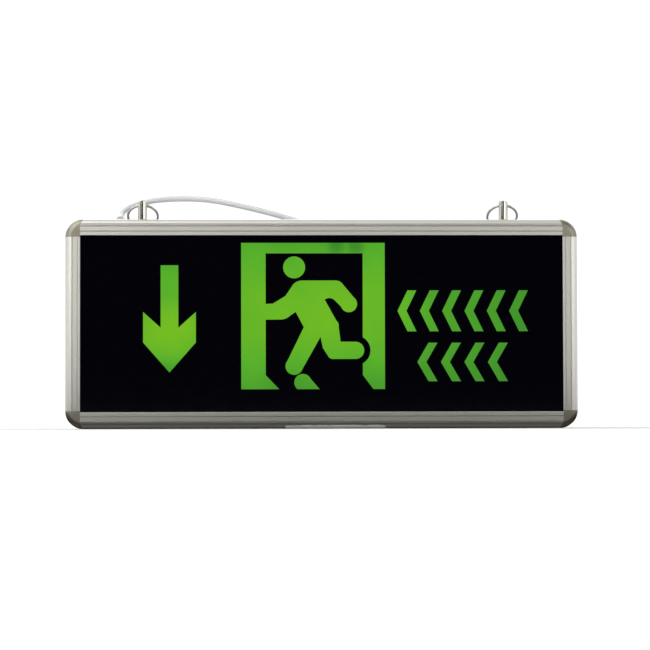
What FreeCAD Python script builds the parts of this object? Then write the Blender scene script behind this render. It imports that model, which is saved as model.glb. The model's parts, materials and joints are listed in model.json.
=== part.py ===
"""Hanging emergency exit light: an extruded aluminium frame round a back-lit printed panel.

Frame: millimetres, +Z up, +X to the right of someone reading the panel, front face towards -Y.
The origin is the centre of the flat underside. Each sub-part goes to parts/NODE.step.
"""
import FreeCAD, Part
import math
import os

V = FreeCAD.Vector
UP = V(0, 0, 1)
RIGHT = V(1, 0, 0)
REARWARD = V(0, 1, 0)

# ---- frame ----
LENGTH = 355.0
HEIGHT = 145.0
DEPTH = 25.0
HALF = LENGTH / 2
FRONT = -DEPTH / 2
BACK = DEPTH / 2
SHOULDER = 4.5  # radius of the long rounded edges
WALL = 1.4
RAIL_FACE = 11.5  # how far the top and bottom rails cover the panel
SIDE_FACE = 10.4  # and the side rails
GROOVES = (4.9, 8.5)  # decorative lines, from the outer edge
GROOVE_WIDTH = 0.8
GROOVE_DEPTH = 0.5
LIP_BEVEL = 0.35
CORNER_RADIUS = 12.4
SIDE_SEAM = 12.3  # the corner caps' height on the side rails
WEB = 1.2  # inner ribs that hold the sheets
WEB_REACH = 8.0
FRONT_WEB = -7.6
REAR_WEB = 8.4
GAP = 0.1

# ---- sheets, from front to back ----
SHEET_INSET = 4.6  # from the frame's outer edge
PRINT_Y = FRONT + WALL + 0.05
PRINT_THICK = 0.3
PANEL_THICK = 2.0
DIFFUSER_THICK = 1.0
BACK_PLATE_Y = 9.8
BACK_PLATE_THICK = 1.2

# ---- printed shapes ----
ARROW_X = -105.5
DOOR_LEFT, DOOR_RIGHT = -56.0, 43.4
DOOR_BOTTOM, DOOR_TOP = 27.2, 128.5
LEFT_JAMB, RIGHT_JAMB, LINTEL = 16.9, 15.3, 7.3
LEFT_TOE, RIGHT_TOE = 9.3, 7.3  # how far the jambs' feet reach into the doorway
TOE_HEIGHT = 9.7
UPPER_ROW = (52.2, 142.8, 67.1, 95.5, 6)  # left, right, bottom, top, count
LOWER_ROW = (65.9, 128.7, 32.5, 59.2, 4)
CHEVRON_STROKE = 6.2
CHEVRON_GAP = 2.4
HEAD = (-19.35, 111.5, 7.6)  # x, z, radius
HAND = (18.5, 86.1, 5.7)
STANDING_FOOT = (-19.4, 43.1, 6.0)
FLOOR_MARK = (-13.4, 31.8)
RAISED_FOOT = (23.1, 54.0)
FOOT_RADIUS = 5.95
FOOT_CLEARANCE = 4.35

# ---- corner cap screws ----
SCREW_RADIUS = 1.5
SCREW_HEAD = 2.6
SCREW_TIP_Y = 2.0
SCREW_TOP_Y = BACK - 0.15
CROSS_REACH = 1.5
CROSS_HALF_WIDTH = 0.28
CROSS_DEPTH = 0.85

# ---- hangers ----
HANGER_XS = {"left": -124.5, "right": 127.0}
POST_RADIUS = 3.2
POST_TOP = 158.5
STUD_RADIUS = 2.0
STUD_LENGTH = 6.4
EYE_Z = 155.5
EYE_RADIUS = 1.7
WASHER_RADIUS = 4.5
WASHER_THICK = 0.8
NUT_ACROSS_FLATS = 7.0
NUT_HEIGHT = 3.2
RING_RADIUS = 10.55  # to the middle of the wire
RING_WIDE = 1.3
RING_THICK = 1.5
RING_CLEARANCE = 0.3

# ---- indicator plate in the underside ----
PLATE_X = 9.0
PLATE_LENGTH = 69.0
PLATE_ENDS = (PLATE_X - PLATE_LENGTH / 2, PLATE_X + PLATE_LENGTH / 2)
PLATE_THICK = 2.2
LAMP_XS = {"mains_lamp": -15.0, "charge_lamp": -5.0, "fault_lamp": 5.0}
LAMP_RADIUS = 1.5
BUTTON_X = 30.0
BUTTON_RADIUS = 2.0
BUTTON_TRAVEL = 0.5
FLANGE_Z = (PLATE_THICK + 0.05, PLATE_THICK + 0.8)
PLUNGER_RADIUS = 1.4
RUNNING_GAP = 0.3
RECESS = 0.4  # lamps and button stay this far inside the underside
SWITCH_BOTTOM = 3.8
SMALL_BOARD_X = (-20.0, 36.0)
SMALL_BOARD_Z = 7.2
SMALL_BOARD_THICK = 0.8

# ---- light tray ----
TRAY_HALF = 165.0
TRAY_BOTTOM, TRAY_TOP = 25.5, 133.0
TRAY_FRONT, TRAY_BACK = -6.2, 3.3
TRAY_WALL = 0.8
TRAY_FACE = TRAY_BACK - TRAY_WALL
LED_ROWS = {"lower": 60.0, "upper": 105.0}
LED_COUNT = 9
LED_PITCH = 34.0
LED_X = [LED_PITCH * (i - (LED_COUNT - 1) / 2) for i in range(LED_COUNT)]
LED_BOARD = (300.0, 1.0, 8.0)
LED_HEIGHT = 0.8

# ---- electronics and leads ----
BOARD_X, BOARD_Y, BOARD_Z = (48.0, 150.0), (5.4, 7.0), (3.0, 24.5)
BOARD_FRONT = BOARD_Y[0]
BATTERY_X = (-150.0, -16.5)
BATTERY_Y, BATTERY_Z, BATTERY_RADIUS = 2.0, 14.6, 5.25
CELLS = 3
CRADLE_WALL = 1.4
CRADLE_HALF_DEPTH = 6.4
TERMINAL_X, TERMINAL_Y, TERMINAL_Z = (22.0, 40.0), (3.6, 9.6), (11.0, 21.0)
TERMINAL_SCREW_Z = TERMINAL_Z[0] + 5
LEAD_RADIUS = 1.0
LED_LEAD_X = 100.0
INNER_LEAD_Y = 6.5
INNER_LEAD_TURNS_Z = (141.0, 135.0, 80.0)

# ---- supply cord ----
CORD_RADIUS = 2.1
ENTRY = V(-140, 3.5, 145.8)
SLEEVE_LENGTH = 7.0
COIL_X, COIL_Y = -50.0, 44.0
COIL_RADIUS = 24.0
COIL_TURNS = 4
COIL_HEIGHT = 8.4
COIL_HALF_WIDTH = 4.2
CORD_ROUTE = [
    ENTRY,
    V(-140.3, 10.3, 152.0),
    V(-139, 19.3, 156.5),
    V(-134.5, 27.5, 159.8),
    V(-126, 33.5, 162),
    V(-113.5, 36, 163.3),
    V(-97, 35.5, 163.8),
    V(-77, 33.5, 162.2),
    V(-57, 31, 157.8),
    V(-36, 28.5, 152.6),
    V(-16, 26, 146.4),
    V(3, 24.5, 137),
    V(19, 23.5, 122),
    V(29, 23, 102),
    V(33, 23, 80),
    V(32, 23, 58),
    V(26, 23.5, 37),
    V(14, 23, 19),
    V(-3, 21, 7.5),
    V(-21, 18.4, CORD_RADIUS),
    V(-35, COIL_Y - COIL_RADIUS - CORD_RADIUS, CORD_RADIUS),
    V(COIL_X + 2, COIL_Y - COIL_RADIUS - CORD_RADIUS, CORD_RADIUS + 0.01),
]
CORD_END_ROUTE = [
    V(COIL_X - 3, COIL_Y - COIL_RADIUS - CORD_RADIUS, 3 * CORD_RADIUS),
    V(-64, 17.6, 6.0),
    V(-76, 18.6, 2.5),
    V(-88, 21.5, CORD_RADIUS),
]
CORE_RADIUS = 0.85
CORE_LENGTH = 20.0
FERRULE_RADIUS = 1.05


def save(name, shape):
    """Write one sub-part and say how big it is."""
    shape = shape.removeSplitter() if len(shape.Solids) == 1 else shape
    shape.exportStep(f"parts/{name}.step")
    print(f"{name}: {len(shape.Solids)} solid(s), {shape.Volume:.0f} mm3, valid {shape.isValid()}")


def block(x, y, z):
    """A box from three (low, high) pairs."""
    return Part.makeBox(x[1] - x[0], y[1] - y[0], z[1] - z[0], V(x[0], y[0], z[0]))


def centred(x, half):
    return (x - half, x + half)


def rod(radius, start, end):
    return Part.makeCylinder(radius, (end - start).Length, start, end - start)


def group(shapes):
    """Identical pieces that share one node and stay separate solids."""
    return Part.makeCompound(shapes)


def flat_face(points):
    """A face from corner points; an (arc_middle, end) pair in the list is an arc to that end."""
    edges = []
    start = here = points[0]
    for step in points[1:] + [start]:
        if isinstance(step, tuple):
            middle, end = step
            edges.append(Part.Arc(here, middle, end).toShape())
        else:
            end = step
            if (end - here).Length > 1e-6:
                edges.append(Part.LineSegment(here, end).toShape())
        here = end
    return Part.Face(Part.Wire(edges))


def on_panel(x, z):
    return V(x, PRINT_Y, z)


def mirrored_x(shape):
    return shape.mirror(V(0, 0, 0), RIGHT)


# ------------------------------------------------------------------ frame rails


def section_point(inward, y):
    """A point of a rail's section: inward from the frame's outer edge, and front to back."""
    return V(0, y, inward)


def outer_section(face):
    """The outer form of a rail, filled: two shoulders and two bevelled lips."""
    diagonal = SHOULDER * (1 - math.sqrt(0.5))
    return flat_face(
        [
            section_point(face, FRONT + LIP_BEVEL),
            section_point(face - LIP_BEVEL, FRONT),
            section_point(SHOULDER, FRONT),
            (section_point(diagonal, FRONT + diagonal), section_point(0, FRONT + SHOULDER)),
            section_point(0, BACK - SHOULDER),
            (section_point(diagonal, BACK - diagonal), section_point(SHOULDER, BACK)),
            section_point(face - LIP_BEVEL, BACK),
            section_point(face, BACK - LIP_BEVEL),
        ]
    )


def hollow_section(face):
    """The space inside a rail, open towards the panel."""
    front, back = FRONT + WALL, BACK - WALL
    radius = SHOULDER - WALL
    diagonal = WALL + radius * (1 - math.sqrt(0.5))
    return flat_face(
        [
            section_point(face + 1, front),
            section_point(SHOULDER, front),
            (section_point(diagonal, FRONT + diagonal), section_point(WALL, FRONT + SHOULDER)),
            section_point(WALL, BACK - SHOULDER),
            (section_point(diagonal, BACK - diagonal), section_point(SHOULDER, back)),
            section_point(face + 1, back),
        ]
    )


def web_section(y):
    """A rib inside a rail, rooted in its outer wall."""
    low, high = WALL - 0.2, WEB_REACH
    return flat_face(
        [
            section_point(low, y),
            section_point(low, y + WEB),
            section_point(high, y + WEB),
            section_point(high, y),
        ]
    )


def groove_section(inward, y, into):
    half = GROOVE_WIDTH / 2
    return flat_face(
        [section_point(inward - half, y), section_point(inward, y + into), section_point(inward + half, y)]
    )


def rail_bar(face, length):
    """A straight piece of rail along X, centred, with its outer edge on Z = 0 and the panel above it."""
    run = V(length, 0, 0)
    bar = outer_section(face).extrude(run).cut(hollow_section(face).extrude(run))
    for y in (FRONT_WEB, REAR_WEB):
        bar = bar.fuse(web_section(y).extrude(run))
    for inward in GROOVES:
        for y, into in ((FRONT, GROOVE_DEPTH), (BACK, -GROOVE_DEPTH)):
            bar = bar.cut(groove_section(inward, y, into).extrude(run))
    bar.translate(V(-length / 2, 0, 0))
    return bar


def cap_plan(margin=0.0):
    """The outline of the bottom left corner cap, seen from the front, as a prism through the frame."""
    left, bottom = -HALF - 1, -1
    seam, lean = -HALF + SIDE_FACE + margin, -HALF + CORNER_RADIUS + margin
    return flat_face(
        [
            V(left, FRONT - 1, bottom),
            V(lean, FRONT - 1, bottom),
            V(lean, FRONT - 1, 0),
            V(seam, FRONT - 1, SHOULDER),
            V(seam, FRONT - 1, SIDE_SEAM + margin),
            V(left, FRONT - 1, SIDE_SEAM + margin),
        ]
    ).extrude(V(0, DEPTH + 2, 0))


def turned_to_top(shape):
    return shape.mirror(V(0, 0, HEIGHT / 2), UP)


def long_rail():
    """The bottom rail with both ends cut to the corner caps."""
    bar = rail_bar(RAIL_FACE, LENGTH - 2 * SIDE_FACE + 2)
    ends = cap_plan(0.02)
    return bar.cut(ends).cut(mirrored_x(ends))


def left_rail():
    length = HEIGHT - 2 * SIDE_SEAM - 0.04
    bar = rail_bar(SIDE_FACE, length)
    bar.rotate(V(0, 0, 0), REARWARD, 90)
    bar.translate(V(-HALF, 0, HEIGHT / 2))
    return bar


def sheet_outline(y, thick, margin=0.0):
    """A sheet with round corners that fits the rails' slots."""
    inset = SHEET_INSET - margin
    radius = CORNER_RADIUS - inset
    sheet = block((-HALF + inset, HALF - inset), (y, y + thick), (inset, HEIGHT - inset))
    upright = [e for e in sheet.Edges if abs(e.tangentAt(e.FirstParameter).y) > 0.9]
    return sheet.makeFillet(radius, upright)


def cap_screw_places():
    """Where the cap screws of the bottom left corner enter the back, one for each tongue."""
    middle = (GROOVES[0] + GROOVES[1]) / 2
    return [(-HALF + SIDE_FACE + 7.0, middle), (-HALF + middle, SIDE_SEAM + 7.0)]


def four_corners(place):
    x, z = place
    return [(sx * x, z if low else HEIGHT - z) for sx in (1, -1) for low in (True, False)]


def countersunk_form(x, z, margin=0.0):
    """The shank and cone of a cap screw, or of its hole with a margin."""
    taper = SCREW_HEAD - SCREW_RADIUS
    shank = rod(SCREW_RADIUS + margin, V(x, SCREW_TOP_Y, z), V(x, SCREW_TIP_Y - margin, z))
    cone_foot = V(x, SCREW_TOP_Y - taper, z)
    return shank.fuse(Part.makeCone(SCREW_RADIUS + margin, SCREW_HEAD + margin, taper, cone_foot, REARWARD))


def cap_screw(x, z):
    """A countersunk screw from the back, with a cross cut in its head."""
    screw = countersunk_form(x, z)
    deep = (SCREW_TOP_Y - CROSS_DEPTH, BACK)
    for half_x, half_z in ((CROSS_REACH, CROSS_HALF_WIDTH), (CROSS_HALF_WIDTH, CROSS_REACH)):
        screw = screw.cut(block(centred(x, half_x), deep, centred(z, half_z)))
    return screw


def cap_screw_holes():
    places = [p for corner in cap_screw_places() for p in four_corners(corner)]
    holes = []
    for x, z in places:
        mouth = rod(SCREW_HEAD + 0.05, V(x, SCREW_TOP_Y, z), V(x, BACK + 1, z))
        holes.append(countersunk_form(x, z, 0.05).fuse(mouth))
    return group(holes)


def corner_cap():
    """Bottom left: a cast quarter round with the rails' shoulder and a tongue into each rail."""
    centre = V(-HALF + CORNER_RADIUS, 0, CORNER_RADIUS)
    diagonal = SHOULDER * (1 - math.sqrt(0.5))
    radius = CORNER_RADIUS

    def at(out, y):
        return centre + V(-out, y, 0)

    profile = flat_face(
        [
            at(0, FRONT),
            at(radius - SHOULDER, FRONT),
            (at(radius - diagonal, FRONT + diagonal), at(radius, FRONT + SHOULDER)),
            at(radius, BACK - SHOULDER),
            (at(radius - diagonal, BACK - diagonal), at(radius - SHOULDER, BACK)),
            at(0, BACK),
        ]
    )
    cap = profile.revolve(centre, V(0, -1, 0), 90).common(cap_plan())
    low, high = WALL + 0.2, WEB_REACH - 1.0
    front, back = FRONT_WEB + WEB + 0.2, REAR_WEB - 0.2
    reach = 14.0
    flat_tongue = block((-HALF + low, -HALF + SIDE_FACE + reach), (front, back), (low, high))
    upright_tongue = block((-HALF + low, -HALF + high), (front, back), (low, SIDE_SEAM + reach))
    tongues = flat_tongue.fuse(upright_tongue)
    inside = Part.makeCylinder(radius - low, DEPTH, V(centre.x, FRONT, centre.z), REARWARD)
    corner = block((-HALF, centre.x), (FRONT, BACK), (0, centre.z))
    tongues = tongues.cut(corner.cut(inside))
    cap = cap.fuse(tongues)
    front_sheets = PRINT_THICK + PANEL_THICK + DIFFUSER_THICK
    for y, thick in ((PRINT_Y, front_sheets), (BACK_PLATE_Y, BACK_PLATE_THICK)):
        cap = cap.cut(sheet_outline(y - GAP / 2, thick + GAP, GAP))
    return cap


# ------------------------------------------------------------------ print


def print_solid(points):
    return flat_face(points).extrude(V(0, PRINT_THICK, 0))


def print_disc(x, z, radius):
    return Part.makeCylinder(radius, PRINT_THICK, on_panel(x, z), REARWARD)


def arrow():
    """A downward arrow with upright barbs."""
    shaft, barb = 6.1, 18.2
    top, notch, barb_top, barb_foot, tip = 113.0, 69.8, 80.7, 59.6, 38.9
    right_side = [(shaft, top), (shaft, notch), (barb, barb_top), (barb, barb_foot), (0, tip)]
    left_side = [(-x, z) for x, z in reversed(right_side[:-1])]
    return print_solid([on_panel(ARROW_X + x, z) for x, z in right_side + left_side])


def doorway():
    """Two jambs and a lintel; the feet are cut on the slant and the right jamb clears the raised foot."""
    inner_left, inner_right = DOOR_LEFT + LEFT_JAMB, DOOR_RIGHT - RIGHT_JAMB
    inner_top = DOOR_TOP - LINTEL
    knee = DOOR_BOTTOM + TOE_HEIGHT
    frame = print_solid(
        [
            on_panel(DOOR_LEFT, DOOR_BOTTOM),
            on_panel(DOOR_LEFT, DOOR_TOP),
            on_panel(DOOR_RIGHT, DOOR_TOP),
            on_panel(DOOR_RIGHT, DOOR_BOTTOM),
            on_panel(inner_right + RIGHT_TOE, DOOR_BOTTOM),
            on_panel(inner_right, knee),
            on_panel(inner_right, inner_top),
            on_panel(inner_left, inner_top),
            on_panel(inner_left, knee),
            on_panel(inner_left + LEFT_TOE, DOOR_BOTTOM),
        ]
    )
    return frame.cut(print_disc(*RAISED_FOOT, FOOT_RADIUS + FOOT_CLEARANCE))


def body_outline():
    """Arms, trunk and legs of the running figure, without the round hands and feet."""
    return print_solid(
        [
            on_panel(DOOR_LEFT + LEFT_JAMB, 75.3),
            on_panel(DOOR_LEFT + LEFT_JAMB, 86.2),
            on_panel(-34.1, 86.4),
            on_panel(-25.4, 91.7),
            on_panel(-21.3, 97.7),
            (on_panel(-18.3, 101.1), on_panel(-13.8, 102.4)),
            on_panel(9.5, 102.4),
            (on_panel(12.2, 101.7), on_panel(14.0, 100.2)),
            on_panel(23.0, 89.4),
            on_panel(15.1, 82.3),
            on_panel(8.7, 88.7),
            (on_panel(5.0, 90.2), on_panel(1.8, 89.1)),
            on_panel(9.9, 74.4),
            (on_panel(11.2, 72.7), on_panel(11.4, 70.4)),
            on_panel(12.7, 60.0),
            on_panel(RAISED_FOOT[0], RAISED_FOOT[1] + FOOT_RADIUS),
            on_panel(RAISED_FOOT[0], RAISED_FOOT[1] - FOOT_RADIUS),
            on_panel(7.6, RAISED_FOOT[1] - FOOT_RADIUS),
            (on_panel(5.6, 48.5), on_panel(4.2, 49.8)),
            on_panel(0.5, 55.6),
            on_panel(-1.2, 63.3),
            on_panel(-13.8, 41.0),
            on_panel(-25.1, 44.7),
            on_panel(-12.7, 70.1),
            on_panel(-18.3, 80.6),
            on_panel(-22.0, 78.2),
            (on_panel(-24.9, 76.2), on_panel(-28.1, 75.4)),
        ]
    )


def running_figure():
    """The common running figure of escape signs: head, body, and the floor under the front foot."""
    body = body_outline()
    for x, z, radius in (HAND, (*RAISED_FOOT, FOOT_RADIUS), STANDING_FOOT):
        body = body.fuse(print_disc(x, z, radius))
    x, z = FLOOR_MARK
    ramp = print_solid(
        [on_panel(x, DOOR_BOTTOM), on_panel(x + 11.6, DOOR_BOTTOM), on_panel(x + 4.1, z + 4.0)]
    )
    below = block(centred(x, 20), centred(PRINT_Y, 1), (DOOR_BOTTOM - 10, DOOR_BOTTOM))
    step = print_disc(x, z, FOOT_RADIUS).fuse(ramp).cut(below)
    return [print_disc(*HEAD), body.removeSplitter(), step.removeSplitter()]


def chevrons(left, right, bottom, top, count):
    """A row of arrowheads that point to the doorway, in the place where a sign has its words."""
    pitch = (right - left + CHEVRON_GAP) / count
    width = pitch - CHEVRON_GAP
    middle = (bottom + top) / 2
    marks = []
    for i in range(count):
        tip = left + i * pitch
        marks.append(
            print_solid(
                [
                    on_panel(tip, middle),
                    on_panel(tip + width - CHEVRON_STROKE, top),
                    on_panel(tip + width, top),
                    on_panel(tip + CHEVRON_STROKE, middle),
                    on_panel(tip + width, bottom),
                    on_panel(tip + width - CHEVRON_STROKE, bottom),
                ]
            )
        )
    return marks


# ------------------------------------------------------------------ hangers


def post_hole(x):
    return rod(STUD_RADIUS + 0.2, V(x, 0, HEIGHT - 2 * WALL), V(x, 0, HEIGHT + 1))


def hanger_post(x):
    """A turned post with a cross hole, and a threaded stud through the top rail."""
    post = rod(POST_RADIUS, V(x, 0, HEIGHT), V(x, 0, POST_TOP))
    rim = [e for e in post.Edges if e.BoundBox.ZMin > POST_TOP - 0.01]
    stud = rod(STUD_RADIUS, V(x, 0, HEIGHT - STUD_LENGTH), V(x, 0, HEIGHT))
    post = post.makeChamfer(0.5, rim).fuse(stud)
    return post.cut(rod(EYE_RADIUS, V(x - 5, 0, EYE_Z), V(x + 5, 0, EYE_Z)))


def hanger_washer(x):
    under = HEIGHT - WALL - 0.02
    disc = rod(WASHER_RADIUS, V(x, 0, under - WASHER_THICK), V(x, 0, under))
    return disc.cut(rod(STUD_RADIUS + 0.2, V(x, 0, under - 1), V(x, 0, under + 1)))


def hanger_nut(x):
    top = HEIGHT - WALL - WASHER_THICK - 0.04
    reach = NUT_ACROSS_FLATS / 2 / math.cos(math.pi / 6)
    turns = [math.pi / 3 * i for i in range(6)]
    corners = [V(x + reach * math.cos(turn), reach * math.sin(turn), top) for turn in turns]
    nut = flat_face(corners).extrude(V(0, 0, -NUT_HEIGHT))
    return nut.cut(rod(STUD_RADIUS + 0.05, V(x, 0, top - 4), V(x, 0, top + 1)))


def ring_lean():
    """The angle below the horizontal at which a ring comes to rest on the frame's back top edge."""
    across, down = BACK - SHOULDER, EYE_Z - (HEIGHT - SHOULDER)
    reach = SHOULDER + RING_THICK / 2 + RING_CLEARANCE
    return math.acos(reach / math.hypot(across, down)) - math.atan2(across, down)


def hanger_ring(x):
    """A split ring of two flat turns side by side, leaning back on the frame."""
    lean = ring_lean()
    along = V(0, math.cos(lean), -math.sin(lean))
    axis = V(0, math.sin(lean), math.cos(lean))
    centre = V(x, 0, EYE_Z) + along * RING_RADIUS
    inner, outer = RING_RADIUS - RING_WIDE / 2, RING_RADIUS + RING_WIDE / 2
    half, soft, split = RING_THICK / 2, 0.25, 0.15

    def at(radius, height):
        return centre + RIGHT * radius + axis * height

    section = flat_face(
        [
            at(inner, split), at(inner, half - soft), at(inner + soft, half),
            at(outer - soft, half), at(outer, half - soft), at(outer, split),
            at(outer - split, 0),
            at(outer, -split), at(outer, soft - half), at(outer - soft, -half),
            at(inner + soft, -half), at(inner, soft - half), at(inner, -split),
            at(inner + split, 0),
        ]
    )
    return section.revolve(centre, axis, 360)


# ------------------------------------------------------------------ indicator plate and test button


def plate_opening():
    low, high = PLATE_ENDS
    return block((low - GAP, high + GAP), (FRONT - 1, BACK + 1), (-1, PLATE_THICK + GAP))


def indicator_plate():
    """A moulded strip let into the underside, in line with the rail's own surface."""
    low, high = PLATE_ENDS
    strip = outer_section(RAIL_FACE).extrude(V(high - low, 0, 0))
    strip.translate(V(low, 0, 0))
    strip = strip.common(block((low, high), (FRONT, BACK), (0, PLATE_THICK)))
    for end, into in ((low, 1), (high, -1)):
        inner = end + into * 3.0
        hook = block(sorted((end + into, inner)), (-5, 5), (PLATE_THICK, SMALL_BOARD_Z - 1.5))
        strip = strip.fuse(hook)
    for x in LAMP_XS.values():
        strip = strip.cut(rod(LAMP_RADIUS + GAP, V(x, 0, -1), V(x, 0, PLATE_THICK + 1)))
    return strip.cut(rod(BUTTON_RADIUS + RUNNING_GAP, V(BUTTON_X, 0, -1), V(BUTTON_X, 0, PLATE_THICK + 1)))


def lamp(x):
    """A round-nosed 3 mm indicator lamp, sealed, from the plate up to its board."""
    nose = RECESS + LAMP_RADIUS
    body = rod(LAMP_RADIUS, V(x, 0, nose), V(x, 0, SMALL_BOARD_Z))
    dome = Part.makeSphere(LAMP_RADIUS, V(x, 0, nose)).common(
        block(centred(x, 2), (-2, 2), (0, nose))
    )
    collar = rod(LAMP_RADIUS + 0.4, V(x, 0, PLATE_THICK + 2.6), V(x, 0, PLATE_THICK + 3.4))
    return body.fuse(dome).fuse(collar)


def test_button():
    """The cap that a finger presses, with a flange that keeps it behind the plate."""
    low, high = FLANGE_Z
    cap = rod(BUTTON_RADIUS, V(BUTTON_X, 0, RECESS), V(BUTTON_X, 0, low))
    rim = [e for e in cap.Edges if e.BoundBox.ZMax < RECESS + 0.01]
    flange = rod(BUTTON_RADIUS + 1, V(BUTTON_X, 0, low), V(BUTTON_X, 0, high))
    return cap.makeFillet(0.4, rim).fuse(flange)


def switch_plunger():
    return rod(PLUNGER_RADIUS, V(BUTTON_X, 0, FLANGE_Z[1]), V(BUTTON_X, 0, SWITCH_BOTTOM + 0.9))


def test_switch():
    """A small switch whose bore leaves the plunger its full travel."""
    body = block(centred(BUTTON_X, 3), (-3, 3), (SWITCH_BOTTOM, SMALL_BOARD_Z))
    bore_top = SWITCH_BOTTOM + 0.9 + BUTTON_TRAVEL + RUNNING_GAP
    bore = rod(PLUNGER_RADIUS + RUNNING_GAP, V(BUTTON_X, 0, SWITCH_BOTTOM - 1), V(BUTTON_X, 0, bore_top))
    return body.cut(bore)


def indicator_board():
    return block(SMALL_BOARD_X, (-5.5, 5.5), (SMALL_BOARD_Z, SMALL_BOARD_Z + SMALL_BOARD_THICK))


# ------------------------------------------------------------------ light tray and electronics


def reflector_tray():
    """A shallow white box, open towards the panel, that spreads the light."""
    outer = block(centred(0, TRAY_HALF), (TRAY_FRONT, TRAY_BACK), (TRAY_BOTTOM, TRAY_TOP))
    inner = block(
        centred(0, TRAY_HALF - TRAY_WALL),
        (TRAY_FRONT - 1, TRAY_FACE),
        (TRAY_BOTTOM + TRAY_WALL, TRAY_TOP - TRAY_WALL),
    )
    z = LED_ROWS["lower"]
    lead_hole = rod(LEAD_RADIUS + 0.4, V(LED_LEAD_X, TRAY_FACE - 1, z), V(LED_LEAD_X, TRAY_BACK + 1, z))
    return outer.cut(inner).cut(lead_hole)


def led_board(z):
    length, thick, tall = LED_BOARD
    board = block(centred(0, length / 2), (TRAY_FACE - thick, TRAY_FACE), centred(z, tall / 2))
    for x in board_screw_xs():
        board = board.cut(rod(1.3, V(x, TRAY_FACE - 5, z), V(x, TRAY_FACE + 1, z)))
    return board


def board_screw_xs():
    return (LED_X[0] - LED_PITCH / 3, -LED_X[0] + LED_PITCH / 3)


def led(x, z):
    """A surface-mounted LED: a square body with a shallow round well for the light."""
    front = TRAY_FACE - LED_BOARD[1]
    body = block(centred(x, 1.75), (front - LED_HEIGHT, front), centred(z, 1.4))
    return body.cut(Part.makeCone(1.1, 0.8, 0.3, V(x, front - LED_HEIGHT, z), REARWARD))


def led_board_screw(x, z):
    front = TRAY_FACE - LED_BOARD[1]
    head = rod(2.0, V(x, front - 0.9, z), V(x, front, z))
    slot = block(centred(x, 1.4), (front - 1, front - 0.5), centred(z, 0.25))
    return head.fuse(rod(1.2, V(x, front, z), V(x, TRAY_FACE, z))).cut(slot)


def standoff_places():
    return [(x, z) for x in (54.0, 144.0) for z in (11.5, 21.0)]


def driver_board():
    board = block(BOARD_X, BOARD_Y, BOARD_Z)
    for x, z in standoff_places():
        board = board.cut(rod(1.6, V(x, 0, z), V(x, BACK, z)))
    return board


def standoff(x, z):
    back = BOARD_Y[1]
    post = rod(2.4, V(x, back, z), V(x, BACK_PLATE_Y, z))
    return post.cut(rod(1.2, V(x, back - 1, z), V(x, back + 2, z)))


def board_screw(x, z):
    head = rod(2.4, V(x, BOARD_FRONT - 1.4, z), V(x, BOARD_FRONT, z))
    slot = block(centred(x, 1.6), (BOARD_FRONT - 2, BOARD_FRONT - 0.8), centred(z, 0.3))
    shank = rod(1.15, V(x, BOARD_FRONT, z), V(x, BOARD_Y[1] + 1.9, z))
    return head.fuse(shank).cut(slot)


def transformer():
    """A small wound transformer: a laminated core with a taped coil through it."""
    core = block((84, 100), (BOARD_FRONT - 8.5, BOARD_FRONT), (5.5, 21.5))
    coil = block((81.5, 102.5), (BOARD_FRONT - 7, BOARD_FRONT - 1.5), (9.5, 17.5))
    return core.fuse(coil)


def capacitor(x):
    can = rod(4.0, V(x, BOARD_FRONT, 13.0), V(x, BOARD_FRONT - 9.5, 13.0))
    rim = [e for e in can.Edges if e.BoundBox.YMax < BOARD_FRONT - 9]
    return can.makeFillet(0.6, rim)


def chip(x, z):
    return block(centred(x, 2.5), (BOARD_FRONT - 1.5, BOARD_FRONT), centred(z, 2.0))


def terminal_block():
    """A two-pole block with its wire entries on top and screws in front."""
    front, z = TERMINAL_Y[0], TERMINAL_SCREW_Z
    body = block(TERMINAL_X, TERMINAL_Y, TERMINAL_Z)
    for x in terminal_screw_xs():
        body = body.cut(rod(1.9, V(x, front - 1, z), V(x, front + 2.0, z)))
    return body


def terminal_screw_xs():
    return (TERMINAL_X[0] + 4.5, TERMINAL_X[1] - 4.5)


def terminal_screw(x):
    front, z = TERMINAL_Y[0], TERMINAL_SCREW_Z
    head = rod(1.8, V(x, front + 0.6, z), V(x, front + 2.0, z))
    return head.cut(block(centred(x, 1.5), (front, front + 1.1), centred(z, 0.3)))


def battery_pack():
    """Cells end to end in one shrunk sleeve, waisted a little where they meet."""
    left, right = BATTERY_X
    cell = (right - left) / CELLS
    pack = None
    for i in range(CELLS):
        start = V(left + i * cell, BATTERY_Y, BATTERY_Z)
        body = rod(BATTERY_RADIUS, start, start + RIGHT * cell)
        body = body.makeFillet(0.8, [e for e in body.Edges if e.Length > 20 and e.Closed])
        neck = rod(BATTERY_RADIUS - 0.7, start - RIGHT * (1.0 if i else 0), start + RIGHT * 2)
        body = body.fuse(neck)
        pack = body if pack is None else pack.fuse(body)
    return pack


def battery_cradle():
    """A trough that carries the cells above the bottom rail, with an end wall each side."""
    left, right = BATTERY_X
    body = block(
        (left - CRADLE_WALL, right + CRADLE_WALL),
        centred(BATTERY_Y, CRADLE_HALF_DEPTH),
        (WEB_REACH + 0.2, BATTERY_Z),
    )
    start = V(left - 0.2, BATTERY_Y, BATTERY_Z)
    body = body.cut(rod(BATTERY_RADIUS + 0.2, start, start + RIGHT * (right - left + 0.4)))
    lead_notch = LEAD_RADIUS + 0.2
    end = V(right, BATTERY_Y, BATTERY_Z)
    return body.cut(rod(lead_notch, end, end + RIGHT * 3))


# ------------------------------------------------------------------ cords and leads


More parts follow.
